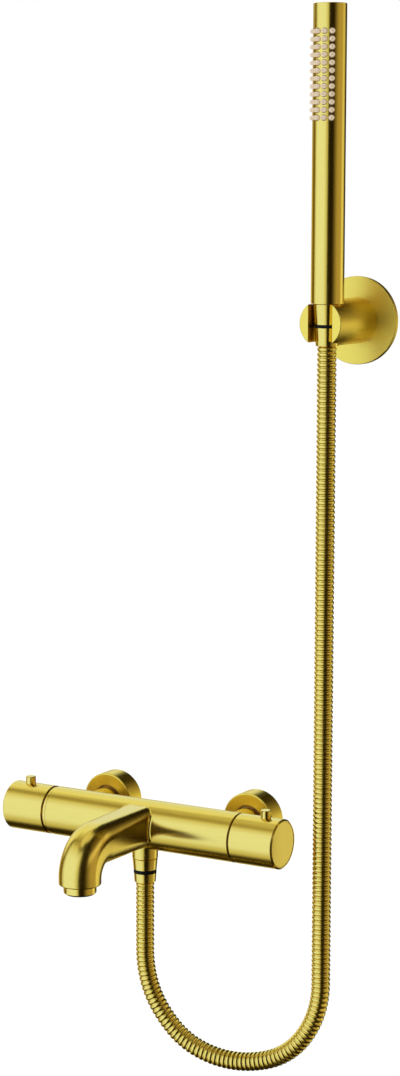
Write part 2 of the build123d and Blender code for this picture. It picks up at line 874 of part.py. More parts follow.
with BuildPart() as thermostat_shuttle:
    with BuildSketch(across(bar_right, shuttle_place)):
        Circle(pocket_radius - body_gap)
        Circle(wax_radius + thread_gap, mode=Mode.SUBTRACT)
        with PolarLocations((pocket_radius + wax_radius) / 2, 6):
            Circle(shuttle_hole_diameter / 2, mode=Mode.SUBTRACT)
    extrude(amount=shuttle_length)
save(thermostat_shuttle, "thermostat_shuttle")

thermostat_spring_length = shuttle_place - wax_start - thermostat_wire
with BuildPart() as thermostat_spring:
    with BuildLine() as coil:
        Helix(
            thermostat_spring_length / thermostat_spring_turns,
            thermostat_spring_length,
            thermostat_spring_diameter / 2,
            center=bar_right.origin + Vector(wax_start + thermostat_wire / 2, 0, 0),
            direction=(1, 0, 0),
        )
    with BuildSketch(Plane(origin=coil.line @ 0, z_dir=coil.line % 0)):
        Circle(thermostat_wire / 2)
    sweep(path=coil.line, is_frenet=True)
save(thermostat_spring, "thermostat_spring")

# Shower outlet: a nipple in the boss, then the hose's nut, black swivel ring and sleeve
nipple_top = -(bar_radius / 2 + nipple_gap)
nut_top = -outlet_boss_bottom - body_gap
ring_top = nut_top - hose_nut_length
ring_bottom = ring_top - swivel_ring_height
hose_thread = hose_thread_diameter / 2
outlet_nipple = turned(
    outlet_section,
    (ring_top + swivel_web + swivel_head_height + body_gap, nipple_bore / 2),
    (nipple_top, nipple_bore / 2),
    (nipple_top, nipple_thread_diameter / 2 - thread_gap),
    (-outlet_boss_bottom, nipple_thread_diameter / 2 - thread_gap),
    (-outlet_boss_bottom, hose_thread - thread_gap),
    (ring_top + swivel_web + swivel_head_height + body_gap, hose_thread - thread_gap),
)
save(outlet_nipple, "outlet_nipple")


def swivel_nut(section, top, length, top_radius, end_radius, direction):
    """A tapered nut whose end wall turns on the sleeve's pin; direction is -1 for a nut hanging down."""
    end = top + direction * length
    inner = end - direction * swivel_web
    pin = swivel_pin_diameter / 2 + running_gap
    return turned(
        section,
        (top, hose_thread),
        (inner, hose_thread),
        (inner, pin),
        (end, pin),
        (end, end_radius),
        (top + direction * swivel_nut_chamfer, top_radius),
        (top, top_radius - swivel_nut_chamfer),
    )


def swivel_sleeve(section, start, length, start_radius, end_radius, ring_height):
    """The sleeve on the hose's end, with a pin through the ring and a head inside the nut."""
    pin_end = start + ring_height + swivel_web + 2 * running_gap
    head_end = pin_end + swivel_head_height - 4 * running_gap
    return turned(
        section,
        (start - length, hose_bore / 2),
        (head_end, hose_bore / 2),
        (head_end, swivel_head_diameter / 2),
        (pin_end, swivel_head_diameter / 2),
        (pin_end, swivel_pin_diameter / 2),
        (start, swivel_pin_diameter / 2),
        (start, start_radius),
        (start - length, end_radius),
    )


ring_radius_mixer = swivel_ring_diameter / 2
mixer_hose_nut = swivel_nut(
    outlet_section, nut_top, hose_nut_length, hose_nut_top_diameter / 2, ring_radius_mixer, -1
)
save(mixer_hose_nut, "mixer_hose_nut")
mixer_swivel_ring = tube(
    outlet_section,
    ring_bottom,
    ring_top,
    ring_radius_mixer - swivel_step,
    swivel_pin_diameter / 2 + thread_gap,
)
save(mixer_swivel_ring, "mixer_swivel_ring")
mixer_hose_sleeve = swivel_sleeve(
    outlet_section,
    ring_bottom,
    hose_sleeve_length,
    ring_radius_mixer - 2 * swivel_step,
    hose_sleeve_end_diameter / 2,
    swivel_ring_height,
)
save(mixer_hose_sleeve, "mixer_hose_sleeve")

# Hose: down from the mixer, round the low bend and straight up to the hand shower
side_slope = (axis_to_wall - handset_to_wall) / holder_side
route_heights = [
    (0, hose_start_height),
    (0, -147),
    (30.5, -191.5),
    (84, -211),
    (140, -195.5),
    (holder_side, -151.5),
    (holder_side, hose_end_height),
]
route = [Vector(x, side_slope * x - axis_to_wall, z) for x, z in route_heights]
bend_radii = []
for before, corner, after in zip(route, route[1:], route[2:]):
    half_turn = math.radians((corner - before).get_angle(after - corner)) / 2
    shorter_run = min((corner - before).length, (after - corner).length)
    bend_radii.append(hose_bend_share * shorter_run / math.tan(half_turn))
print("hose bend radii, mm:", [round(radius, 1) for radius in bend_radii])

with BuildLine() as hose_path:
    FilletPolyline(*route, radius=bend_radii)
hose_wire = hose_path.wire()
hose_length = hose_wire.length
print("hose length, mm:", round(hose_length, 1))
hose_x_dir = Vector(side_slope, -1, 0).normalized()
rib_pitch = (hose_length - 2 * hose_plain_end) / hose_ribs
rib_profile = (
    (rib_foot_share, hose_root_diameter / 2),
    (rib_shoulder_share, hose_diameter / 2),
    (1 - rib_shoulder_share, hose_diameter / 2),
    (1 - rib_foot_share, hose_root_diameter / 2),
)


def hose_plane(distance):
    """The plane across the hose at a distance along it, turned the same way all along."""
    return Plane(
        origin=hose_wire.position_at(distance, position_mode=PositionMode.LENGTH),
        x_dir=hose_x_dir,
        z_dir=hose_wire.tangent_at(distance, position_mode=PositionMode.LENGTH),
    )


with BuildPart() as shower_hose:
    with BuildSketch(hose_plane(0)):
        Circle(hose_root_diameter / 2)
    for rib in range(hose_ribs):
        for share, radius in rib_profile:
            with BuildSketch(hose_plane(hose_plain_end + (rib + share) * rib_pitch)):
                Circle(radius)
    with BuildSketch(hose_plane(hose_length)):
        Circle(hose_root_diameter / 2)
    loft(ruled=True)
    with BuildSketch(hose_plane(0)):
        Circle(hose_bore / 2)
    sweep(path=hose_wire, mode=Mode.SUBTRACT)
plain_tube_volume = math.pi / 4 * (hose_diameter**2 - hose_bore**2) * hose_length
print("hose volume share of a plain tube:", round(shower_hose.part.volume / plain_tube_volume, 3))
save(shower_hose, "shower_hose")

# Hand shower: its cone nut turns on the hose sleeve in the holder
handset_hose_nut = swivel_nut(
    handset_section, cone_top, cone_length, cone_top_diameter / 2, cone_ring_diameter / 2, -1
)
save(handset_hose_nut, "handset_hose_nut")
handset_swivel_ring = tube(
    handset_section,
    swivel_bottom,
    swivel_top - running_gap,
    cone_ring_diameter / 2 - 2 * swivel_step,
    swivel_pin_diameter / 2 + thread_gap,
)
save(handset_swivel_ring, "handset_swivel_ring")
handset_hose_sleeve = swivel_sleeve(
    handset_section,
    swivel_bottom,
    cone_sleeve_length,
    cone_ring_diameter / 2 - 3 * swivel_step,
    hose_sleeve_end_diameter / 2,
    cone_ring_height,
)
save(handset_hose_sleeve, "handset_hose_sleeve")

handset_radius = handset_diameter / 2
handset_inner = handset_radius - handset_wall
connector_end = handset_bottom - connector_thread_length
handset_washer = tube(
    handset_section,
    connector_end - hose_washer_thickness,
    connector_end,
    hose_thread - washer_margin,
    hose_washer_bore / 2,
)
save(handset_washer, "handset_washer")

inner_tube_radius = inner_tube_diameter / 2
inner_tube_start = handset_bottom + connector_plug_length
inner_tube_end = handset_top - top_cap_thickness
handset_connector = turned(
    handset_section,
    (connector_end, connector_bore / 2),
    (inner_tube_start, connector_bore / 2),
    (inner_tube_start, handset_inner - thread_gap),
    (handset_bottom, handset_inner - thread_gap),
    (handset_bottom, hose_thread - thread_gap),
    (connector_end, hose_thread - thread_gap),
)
save(handset_connector, "handset_connector")
flow_limiter = tube(
    handset_section,
    connector_end,
    connector_end + limiter_thickness,
    connector_bore / 2 - thread_gap,
    limiter_hole / 2,
)
save(flow_limiter, "flow_limiter")

nozzle_middle = handset_top - nozzle_top_margin - (nozzle_rows - 1) * nozzle_pitch / 2
nozzle_turns = [(column - (nozzle_columns - 1) / 2) * nozzle_angle_pitch for column in range(nozzle_columns)]


def nozzle_planes(radius):
    """A plane facing outwards at each nozzle, at this distance from the handset's axis."""
    planes = []
    for turn in nozzle_turns:
        angle = math.radians(turn + spray_turn - 90)
        outwards = Vector(math.cos(angle), math.sin(angle), 0)
        for row in range(nozzle_rows):
            height = nozzle_middle + (row - (nozzle_rows - 1) / 2) * nozzle_pitch
            origin = handset_axis.position + outwards * radius + Vector(0, 0, height)
            planes.append(Plane(origin=origin, x_dir=(0, 0, 1), z_dir=outwards))
    return planes


with BuildPart() as handset_tube:
    add(tube(handset_section, handset_bottom, handset_top, handset_radius, handset_inner).part)
    fillet(handset_tube.edges().filter_by(GeomType.CIRCLE).group_by(Axis.Z)[-1], radius=handset_edge_round)
    with BuildSketch(*nozzle_planes(handset_radius)):
        Circle(nozzle_diameter / 2 + running_gap)
    extrude(amount=2 * handset_wall, both=True, mode=Mode.SUBTRACT)
save(handset_tube, "handset_tube")

top_cap = turned(
    handset_section,
    (inner_tube_end, 0),
    (handset_top - top_cap_recess, 0),
    (handset_top - top_cap_recess, handset_inner - thread_gap),
    (inner_tube_end, handset_inner - thread_gap),
)
save(top_cap, "handset_top_cap")

strip_outer = handset_inner - running_gap
strip_inner = strip_outer - strip_thickness
strip_half_turn = nozzle_turns[-1] + nozzle_angle_pitch / 2
strip_half_height = nozzle_rows * nozzle_pitch / 2 + strip_margin
with BuildPart() as spray_nozzles:
    strip_start = math.radians(spray_turn - 90 - strip_half_turn)
    strip_x = Vector(math.cos(strip_start), math.sin(strip_start), 0)
    strip_z = strip_x.cross(Vector(0, 0, 1))
    with BuildSketch(Plane(origin=handset_axis.position, x_dir=strip_x, z_dir=strip_z)):
        with Locations(((strip_outer + strip_inner) / 2, nozzle_middle)):
            Rectangle(strip_thickness, 2 * strip_half_height)
    revolve(axis=handset_axis, revolution_arc=2 * strip_half_turn)
    for plane in nozzle_planes(strip_outer - strip_thickness / 2):
        with Locations(plane):
            Cone(
                nozzle_diameter / 2,
                nozzle_tip_diameter / 2,
                handset_radius + nozzle_height - strip_outer + strip_thickness / 2,
                align=(Align.CENTER, Align.CENTER, Align.MIN),
            )
    with BuildSketch(*nozzle_planes(strip_inner)):
        Circle(nozzle_bore / 2)
    extrude(amount=nozzle_height + handset_wall + 2 * strip_thickness, mode=Mode.SUBTRACT)
save(spray_nozzles, "spray_nozzles")

inner_tube = tube(
    handset_section,
    inner_tube_start,
    inner_tube_end,
    inner_tube_radius,
    inner_tube_radius - inner_tube_wall,
)
save(inner_tube, "handset_inner_tube")

# Wall holder: a slotted arm on a hidden bracket, with a cover plate
with BuildPart() as holder_arm:
    with Locations(across(holder_section, plate_thickness)):
        Cylinder(
            arm_diameter / 2,
            arm_length - plate_thickness,
            align=(Align.CENTER, Align.CENTER, Align.MIN),
        )
    front_edges = holder_arm.edges().filter_by(GeomType.CIRCLE).group_by(Axis.Y)[0]
    fillet(front_edges, radius=arm_edge_round)
    with Locations(across(holder_section, plate_thickness - plate_wall)):
        Cylinder(arm_spigot_diameter / 2, plate_wall, align=(Align.CENTER, Align.CENTER, Align.MIN))
    with Locations(across(holder_section, 0)):
        Cylinder(
            stud_diameter / 2,
            stud_length + stud_hole_gap,
            align=(Align.CENTER, Align.CENTER, Align.MIN),
            mode=Mode.SUBTRACT,
        )
    with Locations((holder_side, -handset_to_wall, holder_height)):
        Box(
            slot_width,
            arm_length,
            2 * arm_diameter,
            align=(Align.CENTER, Align.MAX, Align.CENTER),
            mode=Mode.SUBTRACT,
        )
    # The seat follows the cone nut and its sleeve, and the hand shower's foot has its own recess
    seat = turned(
        handset_section,
        (hose_end_height - arm_diameter, 0),
        (handset_top, 0),
        (handset_top, handset_radius + body_gap),
        (cone_top, handset_radius + body_gap),
        (cone_top, cone_top_diameter / 2 + body_gap),
        (swivel_top, cone_ring_diameter / 2 + body_gap),
        (hose_end_height, hose_sleeve_end_diameter / 2 + body_gap),
        (hose_end_height - arm_diameter, hose_sleeve_end_diameter / 2 + body_gap),
    )
    add(seat.part, mode=Mode.SUBTRACT)
    with Locations(Plane(origin=(holder_side, -grub_place, holder_height), z_dir=(0, 0, -1))):
        Cylinder(
            grub_diameter / 2,
            arm_diameter,
            align=(Align.CENTER, Align.CENTER, Align.MIN),
            mode=Mode.SUBTRACT,
        )
save(holder_arm, "holder_arm")

with BuildPart() as holder_plate:
    with Locations(across(holder_section, 0)):
        Cylinder(plate_diameter / 2, plate_thickness, align=(Align.CENTER, Align.CENTER, Align.MIN))
    front_edges = holder_plate.edges().filter_by(GeomType.CIRCLE).group_by(Axis.Y)[0]
    fillet(front_edges, radius=plate_edge_round)
    with Locations(across(holder_section, 0)):
        Cylinder(
            plate_diameter / 2 - plate_wall,
            plate_thickness - plate_wall,
            align=(Align.CENTER, Align.CENTER, Align.MIN),
            mode=Mode.SUBTRACT,
        )
        Cylinder(
            arm_spigot_diameter / 2 + thread_gap,
            plate_thickness,
            align=(Align.CENTER, Align.CENTER, Align.MIN),
            mode=Mode.SUBTRACT,
        )
save(holder_plate, "holder_plate")

bracket_thickness = plate_thickness - plate_wall
screw_places = [(holder_side, 0, holder_height + side * bracket_screw_spacing / 2) for side in (-1, 1)]
with BuildPart() as holder_bracket:
    with Locations(across(holder_section, 0)):
        Cylinder(bracket_diameter / 2, bracket_thickness, align=(Align.CENTER, Align.CENTER, Align.MIN))
        Cylinder(
            stud_diameter / 2 - thread_gap,
            stud_length,
            align=(Align.CENTER, Align.CENTER, Align.MIN),
        )
    for place in screw_places:
        with Locations(Plane(origin=Vector(*place) - Vector(0, bracket_thickness, 0), z_dir=(0, -1, 0))):
            CounterSinkHole(
                bracket_screw_diameter / 2 + thread_gap,
                bracket_screw_head / 2 + thread_gap,
                depth=bracket_thickness,
                counter_sink_angle=90,
            )
save(holder_bracket, "holder_bracket")

with BuildPart() as bracket_screws:
    for place in screw_places:
        head_depth = (bracket_screw_head - bracket_screw_shank) / 2
        screw_section = Plane(origin=place, x_dir=(0, -1, 0), z_dir=(-1, 0, 0))
        screw = turned(
            screw_section,
            (-bracket_screw_length, 0),
            (bracket_thickness - bracket_screw_socket_depth, 0),
            (bracket_thickness - bracket_screw_socket_depth, bracket_screw_socket_diameter / 2),
            (bracket_thickness, bracket_screw_socket_diameter / 2),
            (bracket_thickness, bracket_screw_head / 2),
            (bracket_thickness - head_depth, bracket_screw_shank / 2),
            (-bracket_screw_thread_start, bracket_screw_shank / 2),
            (-bracket_screw_thread_start, bracket_screw_diameter / 2),
            (-bracket_screw_length + bracket_screw_tip, bracket_screw_diameter / 2),
        )
        add(screw.part)
save(bracket_screws, "bracket_screws")

grub_section = Plane(origin=(holder_side, -grub_place, holder_height), x_dir=(0, 0, -1), z_dir=(0, -1, 0))
grub_screw = turned(
    grub_section,
    (stud_diameter / 2, 0),
    (arm_diameter / 2 - grub_recess - grub_socket_depth, 0),
    (arm_diameter / 2 - grub_recess - grub_socket_depth, grub_socket_diameter / 2),
    (arm_diameter / 2 - grub_recess, grub_socket_diameter / 2),
    (arm_diameter / 2 - grub_recess, grub_diameter / 2 - thread_gap),
    (stud_diameter / 2, grub_diameter / 2 - thread_gap),
)
save(grub_screw, "holder_grub_screw")
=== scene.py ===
# %% [markdown]
# # A thermostatic mixer shower in brushed gold
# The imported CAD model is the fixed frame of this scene. It already holds every rigid piece at
# its real size, so this script gives those pieces their finish and sets the studio. The hose,
# the soft nozzles and two small springs are made here. All lengths are metres: +X along the
# bar, +Z up, -Y to the user.

# %% Load the frame
import bisect
import math

import bpy
from mathutils import Euler, Matrix, Vector


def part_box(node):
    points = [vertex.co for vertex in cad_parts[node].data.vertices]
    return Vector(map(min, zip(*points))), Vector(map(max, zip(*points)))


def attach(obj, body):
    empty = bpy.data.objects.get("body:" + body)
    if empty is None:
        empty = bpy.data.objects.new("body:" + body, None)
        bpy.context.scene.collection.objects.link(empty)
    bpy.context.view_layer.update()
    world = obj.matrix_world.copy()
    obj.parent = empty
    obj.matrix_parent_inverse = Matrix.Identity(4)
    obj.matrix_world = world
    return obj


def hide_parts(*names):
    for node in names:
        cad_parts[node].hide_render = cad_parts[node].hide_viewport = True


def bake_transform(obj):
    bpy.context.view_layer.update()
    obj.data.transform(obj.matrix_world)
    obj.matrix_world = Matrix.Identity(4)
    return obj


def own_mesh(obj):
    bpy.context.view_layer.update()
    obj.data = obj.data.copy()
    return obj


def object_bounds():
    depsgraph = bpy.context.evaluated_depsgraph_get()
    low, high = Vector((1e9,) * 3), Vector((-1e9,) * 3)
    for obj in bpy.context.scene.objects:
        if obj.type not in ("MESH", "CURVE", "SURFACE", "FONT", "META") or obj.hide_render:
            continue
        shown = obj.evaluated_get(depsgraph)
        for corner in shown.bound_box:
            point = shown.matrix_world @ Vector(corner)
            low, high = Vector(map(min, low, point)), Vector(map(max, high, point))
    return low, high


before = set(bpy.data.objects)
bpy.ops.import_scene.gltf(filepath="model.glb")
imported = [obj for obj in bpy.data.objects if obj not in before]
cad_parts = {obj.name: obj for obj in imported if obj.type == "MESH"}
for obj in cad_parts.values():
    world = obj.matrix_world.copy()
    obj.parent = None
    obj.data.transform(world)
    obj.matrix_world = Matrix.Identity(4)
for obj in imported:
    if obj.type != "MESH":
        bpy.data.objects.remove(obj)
cad_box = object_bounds()
bpy.ops.object.select_all(action="DESELECT")
print("CAD nodes:", len(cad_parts), "box:", cad_box)

# %% [markdown]
# ## The camera
# The mixer is seen from its right-hand side and a little from above. The camera's place, turn,
# tilt, roll and lens were worked out from the outlines of the bar, the flanges and the holder in
# a picture. The lens is given for the picture's height, because the picture is tall and narrow.

# %% Camera
PICTURE_HEIGHT = 1076
SENSOR_HEIGHT = 24.0
FOCAL_PIXELS = 2478.62
camera_place = Vector((1.13844, -1.92066, 0.56265))
camera_turn = math.radians(30.37)
camera_tilt = math.radians(7.97)
camera_roll = math.radians(0.16)
FAR_CLIP = 100

camera_data = bpy.data.cameras.new("camera")
camera = bpy.data.objects.new("camera", camera_data)
bpy.context.scene.collection.objects.link(camera)
camera_data.sensor_fit = "VERTICAL"
camera_data.sensor_height = SENSOR_HEIGHT
camera_data.lens = FOCAL_PIXELS / PICTURE_HEIGHT * SENSOR_HEIGHT
camera_data.clip_end = FAR_CLIP
turned = Euler((math.pi / 2 - camera_tilt, 0, camera_turn)).to_matrix()
rolled = turned @ Matrix.Rotation(camera_roll, 3, "Z")
camera.matrix_world = Matrix.Translation(camera_place) @ rolled.to_4x4()
bpy.context.scene.camera = camera
print("lens:", round(camera_data.lens, 2), "mm")

# %% [markdown]
# ## The studio
# Brushed metal shows the room more than itself. This room has a wide softbox on the left, a
# dark gap round the lens, a low window and a warm wall on the right, light overhead, pale walls
# far behind and a dark floor. Real lamps would do it too, but soft panels painted on the world
# give clean reflections without noise. The camera looks past them at a plain white backdrop.


# %% Helpers for shader nodes
def new_group(name, inputs, outputs):
    """An empty shader node group. An input is (name, kind, value) and an output (name, kind)."""
    group = bpy.data.node_groups.new(name, "ShaderNodeTree")
    for label, kind, value in inputs:
        socket = group.interface.new_socket(label, in_out="INPUT", socket_type="NodeSocket" + kind)
        if value is not None:
            socket.default_value = value
    for label, kind in outputs:
        group.interface.new_socket(label, in_out="OUTPUT", socket_type="NodeSocket" + kind)
    return group, group.nodes.new("NodeGroupInput"), group.nodes.new("NodeGroupOutput")


def math_node(tree, operation, *values):
    """A Math node whose inputs are sockets or plain numbers."""
    node = tree.nodes.new("ShaderNodeMath")
    node.operation = operation
    for index, value in enumerate(values):
        if isinstance(value, (int, float)):
            node.inputs[index].default_value = value
        else:
            tree.links.new(value, node.inputs[index])
    return node.outputs[0]


def soft_step(tree, value, edge, softness):
    """Rises from 0 to 1 round the edge, over twice the softness."""
    node = tree.nodes.new("ShaderNodeMapRange")
    node.interpolation_type = "SMOOTHSTEP"
    tree.links.new(value, node.inputs["Value"])
    tree.links.new(math_node(tree, "SUBTRACT", edge, softness), node.inputs["From Min"])
    tree.links.new(math_node(tree, "ADD", edge, softness), node.inputs["From Max"])
    return node.outputs["Result"]


print("node helpers:", [helper.__name__ for helper in (new_group, math_node, soft_step)])

# %% A node group for one soft panel of light
panel_group, panel_in, panel_out = new_group(
    "light_panel",
    [
        ("Side", "Float", 0.0),
        ("Height", "Float", 0.0),
        ("Left edge", "Float", -60.0),
        ("Right edge", "Float", 60.0),
        ("Lower edge", "Float", -30.0),
        ("Upper edge", "Float", 30.0),
        ("Softness", "Float", 5.0),
    ],
    [("Mask", "Float")],
)
side = panel_in.outputs["Side"]
height = panel_in.outputs["Height"]
softness = panel_in.outputs["Softness"]
past_left = soft_step(panel_group, side, panel_in.outputs["Left edge"], softness)
past_right = soft_step(panel_group, side, panel_in.outputs["Right edge"], softness)
past_lower = soft_step(panel_group, height, panel_in.outputs["Lower edge"], softness)
past_upper = soft_step(panel_group, height, panel_in.outputs["Upper edge"], softness)
across = math_node(panel_group, "SUBTRACT", past_left, past_right)
upwards = math_node(panel_group, "SUBTRACT", past_lower, past_upper)
panel_group.links.new(math_node(panel_group, "MULTIPLY", across, upwards), panel_out.inputs["Mask"])
print("light panel nodes:", len(panel_group.nodes))

# %% The panels of the room
# The left and right edges are degrees to the right of the lens, the lower and upper edges are
# degrees above the horizon, and each colour is the light that the panel adds.
light_panels = [
    # name, left edge, right edge, lower edge, upper edge, softness, colour
    ("left_softbox", -108, -10, -54, 53, 5, (0.70, 0.78, 0.62)),
    ("left_softbox_heart", -98, -24, -36, 44, 13, (0.27, 0.48, 1.40)),
    ("left_far_side", -144, -110, -50, 38, 6, (0.17, 0.125, 0.004)),
    ("low_left_glow", -90, -34, -80, -56, 8, (0.22, 0.18, 0.06)),
    ("right_window", 40, 112, 13, 28, 5, (0.56, 0.56, 0.44)),
    ("right_window_above", 48, 122, 36, 56, 6, (0.10, 0.08, 0.02)),
    ("upper_gap_glow", -200, -60, 48, 64, 6, (0.24, 0.22, 0.08)),
    ("top_softbox_left", -200, -30, 62, 100, 4, (0.80, 0.86, 0.70)),
    ("top_softbox_right", -30, 200, 76, 100, 4, (0.80, 0.86, 0.70)),
    ("high_back_left", -200, -124, 7, 56, 6, (0.90, 1.08, 1.05)),
    ("warm_side_near", 46, 122, -32, 28, 24, (0.50, 0.44, 0.26)),
    ("warm_side_far", 98, 128, -45, 4, 8, (0.60, 0.68, 0.50)),
    ("back_wall_right", 172, 200, -40, 4, 5, (0.66, 0.58, 0.20)),
    ("back_wall_left", -200, -140, -40, 4, 6, (0.66, 0.58, 0.20)),
    ("high_back_right", 171, 200, 5, 56, 5, (0.90, 1.10, 1.00)),
]
panel_inputs = ("Left edge", "Right edge", "Lower edge", "Upper edge", "Softness")
ROOM_COLOUR = (0.018, 0.013, 0.002, 1)
print("light panels:", [panel[0] for panel in light_panels])

# %% [markdown]
# The world is asked for its colour in one direction at a time. That direction is turned to face
# the lens first, and read as the two angles that the panels are given in.

# %% The two angles of a direction
world = bpy.data.worlds.new("studio")
bpy.context.scene.world = world
world.use_nodes = True
tree = world.node_tree
tree.nodes.clear()
coordinates = tree.nodes.new("ShaderNodeTexCoord")
facing_lens = tree.nodes.new("ShaderNodeMapping")
facing_lens.vector_type = "POINT"
facing_lens.inputs["Rotation"].default_value[2] = -camera_turn
tree.links.new(coordinates.outputs["Generated"], facing_lens.inputs["Vector"])
direction = tree.nodes.new("ShaderNodeSeparateXYZ")
tree.links.new(facing_lens.outputs["Vector"], direction.inputs[0])
to_lens = math_node(tree, "MULTIPLY", direction.outputs["Y"], -1.0)
side_angle = math_node(tree, "DEGREES", math_node(tree, "ARCTAN2", direction.outputs["X"], to_lens))
height_angle = math_node(tree, "DEGREES", math_node(tree, "ARCSINE", direction.outputs["Z"]))
print("direction nodes:", len(tree.nodes))

# %% The panels added up
room = tree.nodes.new("ShaderNodeRGB")
room.outputs[0].default_value = ROOM_COLOUR
total = room.outputs[0]
for name, *edges, colour in light_panels:
    panel = tree.nodes.new("ShaderNodeGroup")
    panel.node_tree = panel_group
    panel.label = name
    for label, value in zip(panel_inputs, edges):
        panel.inputs[label].default_value = value
    tree.links.new(side_angle, panel.inputs["Side"])
    tree.links.new(height_angle, panel.inputs["Height"])
    added = tree.nodes.new("ShaderNodeMix")
    added.data_type = "RGBA"
    added.blend_type = "ADD"
    added.clamp_result = False
    tree.links.new(panel.outputs["Mask"], added.inputs["Factor"])
    tree.links.new(total, added.inputs["A"])
    added.inputs["B"].default_value = (*colour, 1)
    total = added.outputs["Result"]
print("world nodes with the panels:", len(tree.nodes))

# %% The room for reflections, the backdrop for the camera
BACKDROP_GLOW = 1.0
studio_light = tree.nodes.new("ShaderNodeBackground")
tree.links.new(total, studio_light.inputs["Color"])
backdrop = tree.nodes.new("ShaderNodeBackground")
backdrop.inputs["Color"].default_value = (1, 1, 1, 1)
backdrop.inputs["Strength"].default_value = BACKDROP_GLOW
seen_by = tree.nodes.new("ShaderNodeLightPath")
chosen = tree.nodes.new("ShaderNodeMixShader")
tree.links.new(seen_by.outputs["Is Camera Ray"], chosen.inputs["Fac"])
tree.links.new(studio_light.outputs[0], chosen.inputs[1])
tree.links.new(backdrop.outputs[0], chosen.inputs[2])
world_output = tree.nodes.new("ShaderNodeOutputWorld")
tree.links.new(chosen.outputs[0], world_output.inputs["Surface"])
print("backdrop glow:", BACKDROP_GLOW)

# %% Colours as they are
# The picture's bright yellow is too rich for the film-like view, so the plain one is used.
bpy.context.scene.view_settings.view_transform = "Standard"
print("view transform:", bpy.context.scene.view_settings.view_transform)

# %% [markdown]
# ## The floor
# The mixer hangs on a wall, so the floor is only a plain pale plane well under the hose. Its own
# faint glow keeps it level with the backdrop, and it is kept out of the reflections, where the
# real set was dark.

# %% Floor
FLOOR_DROP = 0.08
FLOOR_SIZE = 14
bpy.ops.mesh.primitive_plane_add(size=FLOOR_SIZE, location=(0, 0, cad_box[0][2] - FLOOR_DROP))
floor = bpy.context.active_object
floor.name = "floor"
floor_finish = bpy.data.materials.new("pale_floor")
floor_finish.use_nodes = True
floor_shader = floor_finish.node_tree.nodes["Principled BSDF"]
floor_shader.inputs["Base Color"].default_value = (0.02, 0.02, 0.02, 1)
floor_shader.inputs["Roughness"].default_value = 0.9
floor_shader.inputs["Emission Color"].default_value = (1, 1, 1, 1)
floor_shader.inputs["Emission Strength"].default_value = BACKDROP_GLOW
floor.data.materials.append(floor_finish)
floor.visible_glossy = False
floor.visible_diffuse = False
print("floor at", round(floor.location.z, 3), "m")

# %% [markdown]
# ## Brushed gold
# The coating is a pale yellow gold with a fine brushed grain. The grain is a noise stretched
# along one direction of each piece, so that its streaks run with the brush. One node group makes
# the grain's height and its small changes of colour and shine, and each finish chooses the
# direction.

# %% The brushed grain
FINE_SHARE = 0.7
BROAD_SHARE = 0.3
STREAKS_LOW = 0.35
STREAKS_HIGH = 0.65
STREAK_COLOUR = (0.35, 0.25, 0.1, 1)
grain_group, grain_in, grain_out = new_group(
    "brushed_grain",
    [
        ("Coordinates", "Vector", None),
        ("Colour", "Color", (0.8, 0.66, 0.2, 1)),
        ("Streak tone", "Float", 0.08),
        ("Shine low", "Float", 0.2),
        ("Shine high", "Float", 0.3),
    ],
    [("Colour", "Color"), ("Roughness", "Float"), ("Height", "Float")],
)
fine = grain_group.nodes.new("ShaderNodeTexNoise")
fine.inputs["Scale"].default_value = 1.0
fine.inputs["Detail"].default_value = 3.0
fine.inputs["Roughness"].default_value = 0.6
grain_group.links.new(grain_in.outputs["Coordinates"], fine.inputs["Vector"])
broad = grain_group.nodes.new("ShaderNodeTexNoise")
broad.inputs["Scale"].default_value = 0.18
broad.inputs["Detail"].default_value = 2.0
grain_group.links.new(grain_in.outputs["Coordinates"], broad.inputs["Vector"])
streaks = math_node(
    grain_group,
    "ADD",
    math_node(grain_group, "MULTIPLY", fine.outputs["Fac"], FINE_SHARE),
    math_node(grain_group, "MULTIPLY", broad.outputs["Fac"], BROAD_SHARE),
)
toned = grain_group.nodes.new("ShaderNodeMix")
toned.data_type = "RGBA"
toned.blend_type = "MULTIPLY"
darker = grain_group.nodes.new("ShaderNodeMapRange")
grain_group.links.new(streaks, darker.inputs["Value"])
darker.inputs["From Min"].default_value = STREAKS_LOW
darker.inputs["From Max"].default_value = STREAKS_HIGH
darker.inputs["To Min"].default_value = 1.0
darker.inputs["To Max"].default_value = 0.0
grain_group.links.new(
    math_node(grain_group, "MULTIPLY", darker.outputs["Result"], grain_in.outputs["Streak tone"]),
    toned.inputs["Factor"],
)
grain_group.links.new(grain_in.outputs["Colour"], toned.inputs["A"])
toned.inputs["B"].default_value = STREAK_COLOUR
shine = grain_group.nodes.new("ShaderNodeMapRange")
grain_group.links.new(streaks, shine.inputs["Value"])
shine.inputs["From Min"].default_value = STREAKS_LOW
shine.inputs["From Max"].default_value = STREAKS_HIGH
grain_group.links.new(grain_in.outputs["Shine low"], shine.inputs["To Min"])
grain_group.links.new(grain_in.outputs["Shine high"], shine.inputs["To Max"])
grain_group.links.new(toned.outputs["Result"], grain_out.inputs["Colour"])
grain_group.links.new(shine.outputs["Result"], grain_out.inputs["Roughness"])
grain_group.links.new(streaks, grain_out.inputs["Height"])
print("brushed grain nodes:", len(grain_group.nodes))

# %% A finish that carries the grain
GRAIN_ALONG = 40.0
GRAIN_ACROSS = 1500.0
EVEN_GRAIN = [GRAIN_ACROSS] * 3


